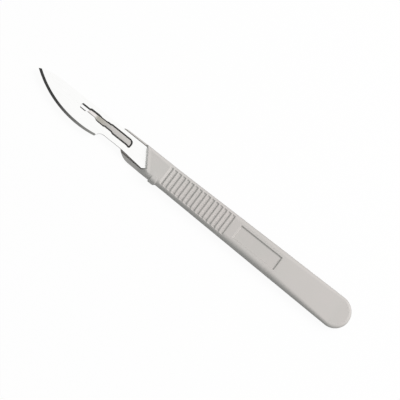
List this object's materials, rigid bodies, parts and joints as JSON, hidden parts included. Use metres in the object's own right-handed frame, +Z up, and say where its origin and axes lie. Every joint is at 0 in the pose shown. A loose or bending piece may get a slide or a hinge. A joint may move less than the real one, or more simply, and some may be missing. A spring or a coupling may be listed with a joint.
{
  "type": "disposable scalpel",
  "caption": "Disposable scalpel: a light grey moulded handle with a ribbed grip, and a curved steel blade snapped onto its boss.",
  "frame": {"origin": "middle of the ribbed grip, on the handle's centre line and its flat back face", "axes": "+X along the handle towards the blade's point, +Y towards the cutting edge, +Z up out of the front face, which has the blade seat and the panel"},
  "size_m": [0.1504, 0.013, 0.0044],
  "materials": {
    "handle_plastic": "light grey moulded plastic, satin",
    "blade_steel": "polished stainless steel with a ground edge"
  },
  "bodies": {
    "root": {"handle": "handle_plastic", "blade": "blade_steel"}
  },
  "joints": []
}
